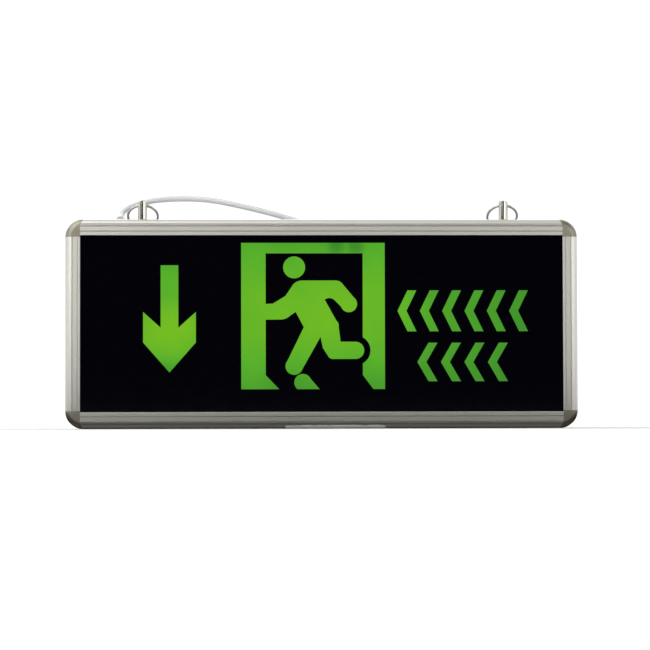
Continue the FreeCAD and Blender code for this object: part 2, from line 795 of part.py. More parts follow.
def cord_path(points, label):
    """Straight runs joined by tangent arcs, each as large as its two runs allow."""
    edges = []
    radii = []
    here = points[0]
    for before, corner, after in zip(points, points[1:], points[2:]):
        into, out = corner - before, after - corner
        shorter = min(into.Length, out.Length)
        into.normalize()
        out.normalize()
        turn = math.acos(max(-1.0, min(1.0, into.dot(out))))
        setback = 0.45 * shorter
        radius = setback / math.tan(turn / 2)
        radii.append(radius)
        start, end = corner - into * setback, corner + out * setback
        towards_centre = (out - into).normalize()
        centre = corner + towards_centre * math.hypot(radius, setback)
        middle = centre - towards_centre * radius
        edges.append(Part.LineSegment(here, start).toShape())
        edges.append(Part.Arc(start, middle, end).toShape())
        here = end
    edges.append(Part.LineSegment(here, points[-1]).toShape())
    wire = Part.Wire(edges)
    print(f"{label}: {wire.Length:.1f} mm, radii " + " ".join(f"{r:.0f}" for r in radii))
    return wire


def tube(points, radius, label):
    """A round cord along a route; its volume is compared with its section times its length."""
    wire = cord_path(points, label)
    first = points[1] - points[0]
    profile = Part.Wire(Part.makeCircle(radius, points[0], first))
    solid = wire.makePipeShell([profile], True, False)
    expected = math.pi * radius**2 * wire.Length
    print(f"{label}: volume ratio {solid.Volume / expected:.4f}")
    return solid


def sleeve_direction():
    return (CORD_ROUTE[1] - ENTRY).normalize()


def cable_grommet():
    """A soft bush in the top rail with a short tapered sleeve that leans with the cord."""
    x, y = ENTRY.x, ENTRY.y
    neck = rod(3.2, V(x, y, HEIGHT - 2.6), V(x, y, HEIGHT + 1.0))
    inner = rod(4.4, V(x, y, HEIGHT - 2.6), V(x, y, HEIGHT - WALL - 0.02))
    outer = rod(4.4, V(x, y, HEIGHT + 0.02), V(x, y, HEIGHT + 1.0))
    along = sleeve_direction()
    sleeve = Part.makeCone(3.7, 2.8, SLEEVE_LENGTH, ENTRY, along)
    above = block(centred(x, 12), centred(y, 16), (HEIGHT + 0.02, HEIGHT + 20))
    bush = neck.fuse(inner).fuse(outer).fuse(sleeve.common(above))
    bore = CORD_RADIUS + 0.05
    lead_bore = rod(bore, V(x, y, HEIGHT - 4), V(x, y, HEIGHT - 0.2))
    return bush.cut(lead_bore).cut(rod(bore, ENTRY, ENTRY + along * (SLEEVE_LENGTH + 2)))


def grommet_hole():
    return rod(3.3, V(ENTRY.x, ENTRY.y, HEIGHT - 2 * WALL), V(ENTRY.x, ENTRY.y, HEIGHT + 1))


def mains_lead():
    """The same cord inside the frame, behind the tray, down to the terminal block."""
    x, y = ENTRY.x, ENTRY.y
    upper, lower, halfway = INNER_LEAD_TURNS_Z
    over = TRAY_BOTTOM + 6.0
    block_x = sum(TERMINAL_X) / 2
    return tube(
        [
            V(x, y, HEIGHT - 0.3),
            V(x, y, upper),
            V(x, INNER_LEAD_Y, lower),
            V(x + 0.5, INNER_LEAD_Y, halfway),
            V(x + 0.5, INNER_LEAD_Y, over),
            V(-60, INNER_LEAD_Y, over + 0.5),
            V(block_x, INNER_LEAD_Y, over),
            V(block_x, INNER_LEAD_Y, TERMINAL_Z[1]),
        ],
        CORD_RADIUS,
        "mains_lead",
    )


def led_lead():
    """From the driver board's top edge up behind the tray and through it."""
    x, y = LED_LEAD_X, sum(BOARD_Y) / 2
    z = LED_ROWS["lower"]
    return tube([V(x, y, BOARD_Z[1]), V(x, y, z), V(x, TRAY_FACE, z)], LEAD_RADIUS, "led_lead")


def battery_lead():
    """From the pack's end past the terminal block to the driver board."""
    right, z = BATTERY_X[1], BATTERY_Z
    return tube(
        [
            V(right, BATTERY_Y, z),
            V(right + 10, BATTERY_Y, z),
            V(right + 22, -1, z + 1),
            V(44, -1, z + 1),
            V(62, -1, z),
            V(62, BOARD_FRONT, z),
        ],
        LEAD_RADIUS,
        "battery_lead",
    )


def coil_section(shrink):
    """The section of the bundle of turns: wide and low, with rounded edges."""
    half, height, soft = COIL_HALF_WIDTH - shrink, COIL_HEIGHT - shrink, CORD_RADIUS - shrink
    cut = soft * (1 - math.sqrt(0.5))

    def at(out, z):
        return V(COIL_X + COIL_RADIUS + out, COIL_Y, z)

    return flat_face(
        [
            at(-half, shrink + soft),
            (at(-half + cut, shrink + cut), at(-half + soft, shrink)),
            at(half - soft, shrink),
            (at(half - cut, shrink + cut), at(half, shrink + soft)),
            at(half, height - soft),
            (at(half - cut, height - cut), at(half - soft, height)),
            at(-half + soft, height),
            (at(-half + cut, height - cut), at(-half, height - soft)),
        ]
    )


def cord_coil_and_tie():
    """The spare length as one ring, nipped in by a band at its back."""
    centre = V(COIL_X, COIL_Y, 0)
    full = coil_section(0).revolve(centre, UP, 360)
    nipped = coil_section(0.7).revolve(centre, UP, 360)
    place = block(centred(COIL_X + COIL_RADIUS, 8), centred(COIL_Y, 2.5), (-1, COIL_HEIGHT + 1))
    tie = full.common(place).cut(nipped)
    return full.cut(tie), tie


def core_route(side):
    """One insulated core: out of the sheath, down to the floor and away from the other core."""
    start = CORD_END_ROUTE[-1]
    along = (start - CORD_END_ROUTE[-2]).normalize()
    along = V(along.x, along.y, 0).normalize()
    across = V(-along.y, along.x, 0) * side
    down = V(0, 0, FERRULE_RADIUS - CORD_RADIUS)
    return [
        start + across * 0.95,
        start + along * (CORE_LENGTH * 0.5) + across * 1.4 + down,
        start + along * CORE_LENGTH + across * 3.5 + down,
    ]


def ferrule(side):
    """A crimped end: a short collar and the bare pin."""
    points = core_route(side)
    along = (points[-1] - points[-2]).normalize()
    collar_end = points[-1] + along * 3
    return rod(FERRULE_RADIUS, points[-1], collar_end).fuse(rod(0.6, collar_end, collar_end + along * 6))


# ------------------------------------------------------------------ the whole light


def frame_parts():
    rail = long_rail()
    holes = cap_screw_holes()
    top = turned_to_top(rail).cut(holes).cut(grommet_hole())
    for x in HANGER_XS.values():
        top = top.cut(post_hole(x))
    left = left_rail().cut(holes)
    cap = corner_cap().cut(holes)
    top_cap = turned_to_top(cap)
    return {
        "top_rail": top,
        "bottom_rail": rail.cut(holes).cut(plate_opening()),
        "left_rail": left,
        "right_rail": mirrored_x(left),
        "bottom_left_corner_cap": cap,
        "bottom_right_corner_cap": mirrored_x(cap),
        "top_left_corner_cap": top_cap,
        "top_right_corner_cap": mirrored_x(top_cap),
        "corner_cap_screws": group(
            [cap_screw(x, z) for place in cap_screw_places() for x, z in four_corners(place)]
        ),
    }


def panel_parts():
    panel_y = PRINT_Y + PRINT_THICK
    figure = running_figure()
    upper, lower = chevrons(*UPPER_ROW), chevrons(*LOWER_ROW)
    black = sheet_outline(PRINT_Y, PRINT_THICK)
    for shape in [arrow(), doorway(), *figure, *upper, *lower]:
        black = black.cut(shape)
    back_plate = sheet_outline(BACK_PLATE_Y, BACK_PLATE_THICK).cut(cap_screw_holes())
    return {
        "panel_black_field": black,
        "panel_arrow": arrow(),
        "panel_doorway": doorway(),
        "panel_running_figure": group(figure),
        "panel_upper_chevrons": group(upper),
        "panel_lower_chevrons": group(lower),
        "front_panel": sheet_outline(panel_y, PANEL_THICK),
        "diffuser_sheet": sheet_outline(panel_y + PANEL_THICK, DIFFUSER_THICK),
        "back_plate": back_plate,
    }


def hanger_parts():
    parts = {f"{side}_hanger_post": hanger_post(x) for side, x in HANGER_XS.items()}
    parts.update({f"{side}_hanger_ring": hanger_ring(x) for side, x in HANGER_XS.items()})
    parts["hanger_washers"] = group([hanger_washer(x) for x in HANGER_XS.values()])
    parts["hanger_nuts"] = group([hanger_nut(x) for x in HANGER_XS.values()])
    return parts


def light_parts():
    parts = {"reflector_tray": reflector_tray()}
    for row, z in LED_ROWS.items():
        parts[f"{row}_led_board"] = led_board(z)
        parts[f"{row}_leds"] = group([led(x, z) for x in LED_X])
    parts["led_board_screws"] = group(
        [led_board_screw(x, z) for x in board_screw_xs() for z in LED_ROWS.values()]
    )
    return parts


def electronic_parts():
    return {
        "driver_board": driver_board(),
        "board_standoffs": group([standoff(x, z) for x, z in standoff_places()]),
        "board_screws": group([board_screw(x, z) for x, z in standoff_places()]),
        "transformer": transformer(),
        "filter_capacitors": group([capacitor(x) for x in (112.0, 123.0)]),
        "control_chips": group([chip(x, z) for x, z in ((70.0, 9.0), (76.0, 18.0), (134.0, 16.0))]),
        "terminal_block": terminal_block(),
        "terminal_screws": group([terminal_screw(x) for x in terminal_screw_xs()]),
        "battery_pack": battery_pack(),
        "battery_cradle": battery_cradle(),
        "mains_lead": mains_lead(),
        "led_lead": led_lead(),
        "battery_lead": battery_lead(),
    }


def indicator_parts():
    parts = {name: lamp(x) for name, x in LAMP_XS.items()}
    parts["indicator_plate"] = indicator_plate()
    parts["indicator_board"] = indicator_board()
    parts["test_button"] = test_button()
    parts["switch_plunger"] = switch_plunger()
    parts["test_switch"] = test_switch()
    return parts


def cord_parts():
    coil, tie = cord_coil_and_tie()
    start = ENTRY + sleeve_direction() * 1.3
    return {
        "cable_grommet": cable_grommet(),
        "supply_cord": tube([start] + CORD_ROUTE[1:], CORD_RADIUS, "supply_cord"),
        "cord_coil": coil,
        "cord_tie": tie,
        "cord_end": tube(CORD_END_ROUTE, CORD_RADIUS, "cord_end"),
        "brown_core": tube(core_route(1), CORE_RADIUS, "brown_core"),
        "blue_core": tube(core_route(-1), CORE_RADIUS, "blue_core"),
        "core_ferrules": group([ferrule(1), ferrule(-1)]),
    }


def main():
    os.makedirs("parts", exist_ok=True)
    makers = (
        frame_parts,
        panel_parts,
        hanger_parts,
        light_parts,
        electronic_parts,
        indicator_parts,
        cord_parts,
    )
    count = 0
    for maker in makers:
        for name, shape in maker().items():
            save(name, shape)
            count += 1
    coil_length = COIL_TURNS * 2 * math.pi * COIL_RADIUS
    lean = math.degrees(ring_lean())
    print(f"{count} nodes, coil {coil_length:.0f} mm of cord")
    print(f"the rings lean {lean:.2f} degrees and swing {180 + 2 * lean:.2f}")


main()
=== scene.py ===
"""Hanging emergency exit light: finishes, rings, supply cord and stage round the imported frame.

Metres, +Z up, +X to the right of someone reading the panel, printed face towards -Y. Laid out as an
add-on and run as a script: each operator makes one piece or group, and main calls them in order.
"""
import json
import math

import bmesh
import bpy
from bpy.props import FloatProperty, FloatVectorProperty, IntProperty, PointerProperty
from mathutils import Matrix, Vector


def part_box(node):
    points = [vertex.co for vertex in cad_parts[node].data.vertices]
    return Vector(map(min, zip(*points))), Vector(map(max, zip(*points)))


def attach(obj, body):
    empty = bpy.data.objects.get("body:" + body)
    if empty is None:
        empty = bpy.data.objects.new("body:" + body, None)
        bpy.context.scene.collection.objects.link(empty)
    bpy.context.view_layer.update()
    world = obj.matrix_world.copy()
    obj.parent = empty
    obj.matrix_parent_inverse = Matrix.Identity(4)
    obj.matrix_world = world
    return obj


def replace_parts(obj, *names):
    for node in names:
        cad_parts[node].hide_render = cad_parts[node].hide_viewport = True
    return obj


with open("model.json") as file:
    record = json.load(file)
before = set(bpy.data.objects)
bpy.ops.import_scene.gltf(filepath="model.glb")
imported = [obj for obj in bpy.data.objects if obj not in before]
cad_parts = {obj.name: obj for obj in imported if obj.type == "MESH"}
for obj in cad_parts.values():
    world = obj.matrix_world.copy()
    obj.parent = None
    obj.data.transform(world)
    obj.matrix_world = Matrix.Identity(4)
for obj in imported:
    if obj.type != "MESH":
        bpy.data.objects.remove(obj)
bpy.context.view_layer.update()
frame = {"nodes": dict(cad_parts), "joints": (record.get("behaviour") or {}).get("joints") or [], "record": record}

bl_info = {
    "name": "Hanging exit light",
    "version": (1, 0, 0),
    "blender": (4, 5, 0),
    "location": "3D View > Sidebar > Exit Light",
    "description": "Dresses the exit light's frame with its finishes, rings, cord and stage",
    "category": "Object",
}

MM = 0.001
BODY = "sign_body"
UP = Vector((0, 0, 1))
RIGHT = Vector((1, 0, 0))
REARWARD = Vector((0, 1, 0))


# ------------------------------------------------------------------ values taken from the frame


def joint(name):
    """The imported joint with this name."""
    return next(row for row in frame["joints"] if row["name"] == name)


def material_slot(node):
    """The record's material slot of a CAD node."""
    rows = frame["record"]["subparts"]
    return next(row["material_slot"] for row in rows if row["node"] == node)


def ring_pivot(side):
    """The eye that a ring hangs and turns in."""
    return Vector(joint(f"{side}_ring_swing")["pos_m"])


def ring_lean():
    """How far below the horizontal a ring rests: the swing is half a turn and twice the lean."""
    low, high = joint("left_ring_swing")["range_deg"]
    return math.radians((high - low - 180) / 2)


FRONT_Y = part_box("left_rail")[0].y
HALF_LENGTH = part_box("right_rail")[1].x
TOP_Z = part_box("top_rail")[1].z
BOTTOM_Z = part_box("bottom_rail")[0].z
MIDDLE_Z = (TOP_Z + BOTTOM_Z) / 2


# ------------------------------------------------------------------ settings


def length(name, description, default):
    """A size in metres."""
    return FloatProperty(
        name=name, description=description, default=default, min=0.0, unit="LENGTH", precision=5
    )


def colour(name, description, default):
    """A linear colour."""
    return FloatVectorProperty(
        name=name, description=description, default=default, size=3, min=0, max=1, subtype="COLOR"
    )


def angle(name, description, degrees):
    """A small turn, given in degrees and kept in radians."""
    turn = math.radians(degrees)
    return FloatProperty(
        name=name, description=description, default=turn, subtype="ANGLE", precision=5
    )


def share(name, description, default):
    """A share, from 0 to 1."""
    return FloatProperty(
        name=name, description=description, default=default, min=0, max=1, subtype="FACTOR"
    )


class CordSettings(bpy.types.PropertyGroup):
    """Sizes, turns and colour of the supply cord"""

    diameter: length("Diameter", "Outside diameter of the sheath", 4.2 * MM)
    core: length("Core", "Diameter of one insulated core", 1.7 * MM)
    turns: IntProperty(name="Turns", description="Turns in the spare coil", default=4, min=1, max=4)
    spread: length("Coil radius", "Radius at the middle of the coil's turns", 24 * MM)
    sheath: colour("Sheath", "Colour of the sheath", (0.68, 0.685, 0.69))


class RingSettings(bpy.types.PropertyGroup):
    """Sizes and colour of the split rings"""

    reach: length("Reach", "From the post's eye to the ring's centre", 10.55 * MM)
    radius: length("Radius", "Radius to the middle of the wire", 10.4 * MM)
    wide: length("Width", "Width of the wire across the ring", 1.6 * MM)
    thick: length("Thickness", "Thickness of the two turns together", 1.46 * MM)
    metal: colour("Metal", "Colour of the plating", (0.46, 0.455, 0.43))


class FrameSettings(bpy.types.PropertyGroup):
    """Colours of the frame, the posts and the back"""

    aluminium: colour("Aluminium", "Colour of the anodised rails", (0.572, 0.56, 0.512))
    plating: colour("Plating", "Colour of the corner caps", (0.265, 0.247, 0.195))
    posts: colour("Posts", "Colour of the turned posts", (0.53, 0.515, 0.46))
    paint: colour("Paint", "Colour of the back plate", (0.70, 0.70, 0.69))


class PanelSettings(bpy.types.PropertyGroup):
    """Colours of the print, and how far it glows"""

    black: colour("Black", "Colour of the printed field", (0.0006, 0.0007, 0.0019))
    bright_green: colour("Bright green", "Green where the lamps are close", (0.20, 0.50, 0.012))
    middle_green: colour("Middle green", "Green between bright and dim", (0.090, 0.40, 0.022))
    dim_green: colour("Dim green", "Green far from the lamps", (0.032, 0.20, 0.022))
    glow: share("Glow", "Share of the green that is its own light", 0.93)


class StageSettings(bpy.types.PropertyGroup):
    """Where the camera stands, and the floor's colour"""

    distance: length("Camera distance", "From the camera to the panel", 1.8)
    span: length("Span", "Width seen at the panel", 0.449)
    eye_height: length("Eye height", "Height of the camera over the floor", 6 * MM)
    yaw: angle("Yaw", "Turn to the panel's left", 1.8)
    roll: angle("Roll", "Tilt of the picture", 0.135)
    floor: colour("Floor", "Colour of the floor", (0.78, 0.78, 0.78))


# ------------------------------------------------------------------ shader maths


class Signal:
    """A node's output that can be used in arithmetic; each operation adds one Math node."""

    def __init__(self, nodes, socket):
        self.nodes = nodes
        self.socket = socket

    def _math(self, operation, first, second):
        return self.nodes.node("ShaderNodeMath", {0: first, 1: second}, operation=operation)

    def __add__(self, other):
        return self._math("ADD", self, other)

    def __sub__(self, other):
        return self._math("SUBTRACT", self, other)

    def __rsub__(self, other):
        return self._math("SUBTRACT", other, self)

    def __mul__(self, other):
        return self._math("MULTIPLY", self, other)

    def __truediv__(self, other):
        return self._math("DIVIDE", self, other)

    def __pow__(self, other):
        return self._math("POWER", self, other)

    def __abs__(self):
        return self.nodes.node("ShaderNodeMath", {0: self}, operation="ABSOLUTE")

    def at_least(self, level):
        """Never under this level."""
        return self._math("MAXIMUM", self, level)

    def at_most(self, level):
        """Never over this level."""
        return self._math("MINIMUM", self, level)

    def within_one(self):
        """Held between 0 and 1."""
        return self.at_least(0.0).at_most(1.0)

    __radd__ = __add__
    __rmul__ = __mul__


class Nodes:
    """A node tree that is filled through one method."""

    def __init__(self, tree):
        self.tree = tree

    def feed(self, socket, value):
        """Gives a socket a constant or a signal."""
        if isinstance(value, Signal):
            self.tree.links.new(value.socket, socket)
        elif socket.type == "RGBA" and len(value) == 3:
            socket.default_value = (*value, 1)
        else:
            socket.default_value = value

    def node(self, kind, inputs=None, output=0, **settings):
        """Any node: its settings first, then its sockets' values or links."""
        made = self.tree.nodes.new(kind)
        for key, value in settings.items():
            setattr(made, key, value)
        for key, value in (inputs or {}).items():
            self.feed(made.inputs[key], value)
        return Signal(self, made.outputs[output])

    def mix(self, factor, first, second):
        """The first colour where the factor is 0 and the second where it is 1."""
        inputs = {0: factor, 6: first, 7: second}
        return self.node("ShaderNodeMix", inputs, output=2, data_type="RGBA")


class Finish(Nodes):
    """One procedural material on a Principled surface."""

    def __init__(self, name, **constants):
        self.material = bpy.data.materials.new(name)
        self.material.use_nodes = True
        super().__init__(self.material.node_tree)
        self.surface = self.tree.nodes["Principled BSDF"]
        for key, value in constants.items():
            self.set(key, value)

    def set(self, key, value):
        """A constant or a signal on the surface; snake_case stands for the socket's name."""
        names = {
            "specular": "Specular IOR Level",
            "transmission": "Transmission Weight",
            "ior": "IOR",
        }
        title = names.get(key, key.replace("_", " ").title())
        self.feed(self.surface.inputs[title], value)

    def place(self, scale=(1, 1, 1)):
        """The point of the surface in the object's own coordinates, stretched."""
        here = self.node("ShaderNodeTexCoord", output="Object")
        return self.node("ShaderNodeMapping", {"Vector": here, "Scale": scale})

    def axis(self, letter):
        """The object's own X, Y or Z at the point of the surface."""
        here = self.node("ShaderNodeTexCoord", output="Object")
        return self.node("ShaderNodeSeparateXYZ", {0: here}, output=letter)

    def noise(self, scale, detail=3.0, stretch=(1, 1, 1)):
        """Soft noise from 0 to 1 with this many waves a metre."""
        inputs = {"Vector": self.place(stretch), "Scale": scale, "Detail": detail, "Roughness": 0.5}
        return self.node("ShaderNodeTexNoise", inputs)

    def shade(self, tint, factor, low, high):
        """A colour that goes between two strengths of a tint with a factor from 0 to 1."""
        darker = tuple(c * low for c in tint)
        lighter = tuple(min(1.0, c * high) for c in tint)
        return self.mix(factor, darker, lighter)

    def bump(self, height, distance):
        """Relief this deep."""
        relief = {"Height": height, "Distance": distance, "Strength": 1.0}
        self.set("normal", self.node("ShaderNodeBump", relief))


# ------------------------------------------------------------------ finishes


def anodised(name, tint, along):
    """Satin aluminium with the fine lines that extruding leaves along the rail."""
    finish = Finish(name, metallic=1.0)
    fine = tuple(0.0012 if axis == along else 1.0 for axis in "XYZ")
    lines = finish.noise(4200, 2.0, fine)
    streaks = finish.noise(900, 2.0, fine)
    cloud = finish.noise(22, 3.0)
    uneven = lines * 0.4 + streaks * 0.3 + cloud * 0.3
    finish.set("base_color", finish.shade(tint, uneven, 0.96, 1.04))
    finish.set("roughness", 0.31 + 0.04 * lines + 0.04 * cloud)
    finish.bump(lines, 0.0008 * MM)
    return finish.material


def cast_plating(name, tint):
    """Dull nickel over a casting: slightly pitted, lighter where hands rub it."""
    finish = Finish(name, metallic=1.0)
    pits = finish.noise(1500, 4.0)
    cloud = finish.noise(120, 3.0)
    worn = ((cloud - 0.5) * 2.2 + 0.5).within_one()
    finish.set("base_color", finish.shade(tint, worn * 0.6 + pits * 0.4, 0.76, 1.24))
    finish.set("roughness", 0.34 + 0.14 * pits)
    finish.bump(pits + 0.5 * cloud, 0.035 * MM)
    return finish.material


def polished(name, tint, rough=0.12):
    """Bright plating with the faint rings of turning."""
    finish = Finish(name, metallic=1.0)
    rings = finish.noise(2600, 1.0, (0.04, 0.04, 1))
    cloud = finish.noise(300, 3.0)
    finish.set("base_color", finish.shade(tint, cloud, 0.92, 1.05))
    finish.set("roughness", rough + 0.04 * rings)
    finish.bump(rings, 0.0008 * MM)
    return finish.material


def zinc(name):
    """Dull zinc over steel, as on screws, washers and nuts."""
    finish = Finish(name, metallic=1.0)
    grain = finish.noise(900, 4.0)
    finish.set("base_color", finish.shade((0.60, 0.61, 0.62), grain, 0.82, 1.12))
    finish.set("roughness", 0.28 + 0.22 * grain)
    finish.bump(grain, 0.01 * MM)
    return finish.material


def moulded(name, tint, rough=0.45, grain=1400.0, depth=0.012):
    """A plastic moulding with the texture of its tool."""
    finish = Finish(name, ior=1.48)
    texture = finish.noise(grain, 3.0)
    cloud = finish.noise(60, 2.0)
    finish.set("base_color", finish.shade(tint, cloud, 0.93, 1.06))
    finish.set("roughness", rough + 0.14 * (texture - 0.5))
    finish.bump(texture, depth * MM)
    return finish.material


def glossy_black(name, tint):
    """Screen print behind a clear skin: a deep black with a barely uneven gloss."""
    finish = Finish(name, specular=0.09, ior=1.49)
    ripple = finish.noise(18, 2.0)
    film = finish.noise(240, 3.0)
    finish.set("base_color", finish.shade(tint, film, 0.7, 1.3))
    finish.set("roughness", 0.04 + 0.03 * film)
    finish.bump(ripple, 0.010 * MM)
    return finish.material


# the soft bright places that the lamps make in the green: x, z, reach along x and z, strength
GLOWS = (
    (-0.105, 0.086, 0.052, 0.062, 0.46),
    (-0.105, 0.067, 0.040, 0.026, 0.62),
    (-0.050, 0.079, 0.036, 0.072, 0.60),
    (-0.026, 0.124, 0.046, 0.030, 0.16),
    (-0.006, 0.079, 0.044, 0.062, 0.66),
    (0.037, 0.086, 0.042, 0.074, 0.50),
    (0.072, 0.080, 0.085, 0.070, 0.24),
)
# two small, slightly darker places in the doorway's lintel: x, z
SHADES = ((0.010, 0.1255), (0.0235, 0.1255))
SHADE_REACH = 7.5 * MM
SHADE_DEPTH = 0.28


def spot(x, z, centre, reach):
    """1 at a place on the panel, falling to 0 at its reach."""
    square = ((x - centre[0]) / reach[0]) ** 2.0 + ((z - centre[1]) / reach[1]) ** 2.0
    return (1 - square).at_least(0.0) ** 1.3


def backlit_green(name, settings):
    """Translucent green print: brightest before the lamps, dimmer at the panel's ends."""
    finish = Finish(name, specular=0.09, ior=1.49)
    x, z = finish.axis("X"), finish.axis("Z")
    unlit = 1.0
    for across, height, reach_x, reach_z, strength in GLOWS:
        unlit = (1 - strength * spot(x, z, (across, height), (reach_x, reach_z))) * unlit
    level = 1 - unlit
    for place in SHADES:
        level = level - SHADE_DEPTH * spot(x, z, place, (SHADE_REACH, SHADE_REACH))
    cloud = finish.noise(70, 3.0)
    level = (level * 1.06 + 0.16 * (cloud - 0.5) + 0.07).within_one()
    dim, middle, bright = (
        tuple(part * settings.glow for part in tint)
        for tint in (settings.dim_green, settings.middle_green, settings.bright_green)
    )
    lower = finish.mix((level * 2.0).at_most(1.0), dim, middle)
    light = finish.mix((level * 2.0 - 1.0).at_least(0.0), lower, bright)
    finish.set("emission_color", light)
    finish.set("emission_strength", 1.0)
    finish.set("base_color", finish.shade((0.012, 0.055, 0.004), cloud, 0.85, 1.15))
    finish.set("roughness", 0.07 + 0.04 * cloud)
    return finish.material


def acrylic(name, tint, rough):
    """A cast sheet with a slight haze."""
    finish = Finish(name, ior=1.49, specular=0.5)
    haze = finish.noise(90, 3.0)
    finish.set("base_color", finish.shade(tint, haze, 0.97, 1.02))
    finish.set("roughness", rough + 0.08 * haze)
    finish.bump(haze, 0.006 * MM)
    return finish.material


def powder_coat(name, tint):
    """Sprayed and baked paint with a fine orange peel."""
    finish = Finish(name, ior=1.5)
    peel = finish.noise(1100, 2.0)
    speck = finish.noise(3800, 2.0)
    dust = finish.noise(14, 4.0)
    finish.set("base_color", finish.shade(tint, dust * 0.7 + speck * 0.3, 0.93, 1.05))
    finish.set("roughness", 0.42 + 0.16 * speck)
    finish.bump(peel * 0.7 + speck * 0.3, 0.05 * MM)
    return finish.material


def circuit_board(name):
    """Green solder mask over a pattern of copper tracks."""
    finish = Finish(name, ior=1.5)
    cells = finish.node(
        "ShaderNodeTexVoronoi",
        {"Vector": finish.place(), "Scale": 260.0, "Randomness": 0.55},
        distance="CHEBYCHEV",
        feature="F1",
    )
    tracks = (cells * 5.0).at_most(1.0) ** 4.0
    finish.set("base_color", finish.mix(tracks, (0.010, 0.115, 0.040), (0.018, 0.190, 0.070)))
    finish.set("roughness", 0.34 - 0.08 * tracks)
    finish.bump(tracks, 0.02 * MM)
    return finish.material


def phosphor(name):
    """The yellow grains under an LED's window."""
    finish = Finish(name, ior=1.45)
    grain = finish.noise(1800, 3.0)
    finish.set("base_color", finish.shade((0.82, 0.66, 0.20), grain, 0.9, 1.1))
    finish.set("roughness", 0.42 + 0.2 * grain)
    return finish.material


def taped_winding(name):
    """Yellow tape round a coil, in bands across the core's laminations."""
    finish = Finish(name, ior=1.45)
    sheets = finish.node("ShaderNodeMath", {0: finish.axis("Z") * 6400.0}, operation="SINE")
    tape = finish.noise(400, 2.0, (1, 1, 0.1))
    finish.set("base_color", finish.mix(tape, (0.62, 0.42, 0.05), (0.74, 0.55, 0.10)))
    finish.set("roughness", 0.40 + 0.1 * tape)
    finish.bump(sheets * 0.5 + tape, 0.02 * MM)
    return finish.material


def tinted_lamp(name, tint):
    """A coloured clear lamp body."""
    finish = Finish(name, transmission=0.55, ior=1.5)
    swirl = finish.noise(700, 2.0)
    finish.set("base_color", finish.shade(tint, swirl, 0.85, 1.15))
    finish.set("roughness", 0.08 + 0.06 * swirl)
    return finish.material


def sheath(name, tint, rough=0.34):
    """Smooth vinyl with the faint waviness of a drawn cord."""
    finish = Finish(name, ior=1.5)
    wave = finish.noise(160, 2.0)
    skin = finish.noise(2400, 2.0)
    finish.set("base_color", finish.shade(tint, wave, 0.95, 1.04))
    finish.set("roughness", rough + 0.12 * skin)
    finish.bump(wave * 0.7 + skin * 0.3, 0.018 * MM)
    return finish.material


# ------------------------------------------------------------------ making pieces


def finished(name, shape, material, body=BODY, crease=30.0):
    """Turns a bmesh into a piece: outward normals, smooth faces, sharp edges past the crease."""
    bmesh.ops.remove_doubles(shape, verts=shape.verts, dist=0.002 * MM)
    bmesh.ops.recalc_face_normals(shape, faces=shape.faces)
    return placed(name, shape, material, body, crease)


def placed(name, shape, material, body=BODY, crease=30.0):
    """Turns a bmesh whose faces already point outwards into a piece on a body."""
    for face in shape.faces:
        face.smooth = True
    limit = math.radians(crease)
    for edge in shape.edges:
        edge.smooth = len(edge.link_faces) == 2 and edge.calc_face_angle(math.pi) < limit
    mesh = bpy.data.meshes.new(name)
    shape.to_mesh(mesh)
    shape.free()
    piece = bpy.data.objects.new(name, mesh)
    bpy.context.scene.collection.objects.link(piece)
    mesh.materials.append(material)
    weighted = piece.modifiers.new("Even shading", "WEIGHTED_NORMAL")
    weighted.keep_sharp = True
    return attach(piece, body)


def rounded_copy(node, material, body=BODY, crease=30.0):
    """A merged copy of a CAD node, shaded round where the node is round, that stands for it."""
    shape = bmesh.new()
    shape.from_mesh(frame["nodes"][node].data)
    bmesh.ops.remove_doubles(shape, verts=shape.verts, dist=0.001 * MM)
    piece = placed(f"{node}_dressed", shape, material, body, crease)
    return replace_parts(piece, node)


def repaint(nodes, material):
    """CAD nodes whose shape is right as it is get their finish."""
    for node in nodes:
        mesh = frame["nodes"][node].data
        mesh.materials.clear()
        mesh.materials.append(material)


def cord_curve(name, points, radius, material):
    """A round cord on one smooth spline with these control points."""
    data = bpy.data.curves.new(name, "CURVE")
    data.dimensions = "3D"
    data.bevel_depth = radius
    data.bevel_resolution = 5
    data.resolution_u = 8
    data.render_resolution_u = 8
    data.use_fill_caps = True
    data.materials.append(material)
    spline = data.splines.new("NURBS")
    spline.points.add(len(points) - 1)
    for target, point in zip(spline.points, points):
        target.co = (*point, 1)
    spline.order_u = 3
    spline.use_endpoint_u = True
    piece = bpy.data.objects.new(name, data)
    bpy.context.scene.collection.objects.link(piece)
    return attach(piece, BODY)


def lathe(shape, profile, foot, axis, steps=40):
    """Turns a profile of (radius, distance along the axis) pairs and adds it to the bmesh."""
    axis = axis.normalized()
    side = axis.orthogonal().normalized()
    verts = [shape.verts.new(foot + side * radius + axis * along) for radius, along in profile]
    edges = [shape.edges.new(pair) for pair in zip(verts, verts[1:])]
    bmesh.ops.spin(
        shape, geom=verts + edges, cent=foot, axis=axis, angle=math.tau, steps=steps, use_merge=True
    )


def bent_bar(shape, section, centre, axis, stages):
    """Sweeps a flat section round an axis in stages of (angle, shift along the axis, steps)."""
    here = [shape.faces.new([shape.verts.new(point) for point in section])]
    for turn, shift, steps in stages:
        swept = bmesh.ops.spin(
            shape,
            geom=here,
            cent=centre,
            axis=axis,
            dvec=axis * (shift / steps),
            angle=turn,
            steps=steps,
            use_duplicate=False,
        )
        here = [part for part in swept["geom_last"] if isinstance(part, bmesh.types.BMFace)]


# ------------------------------------------------------------------ supply cord


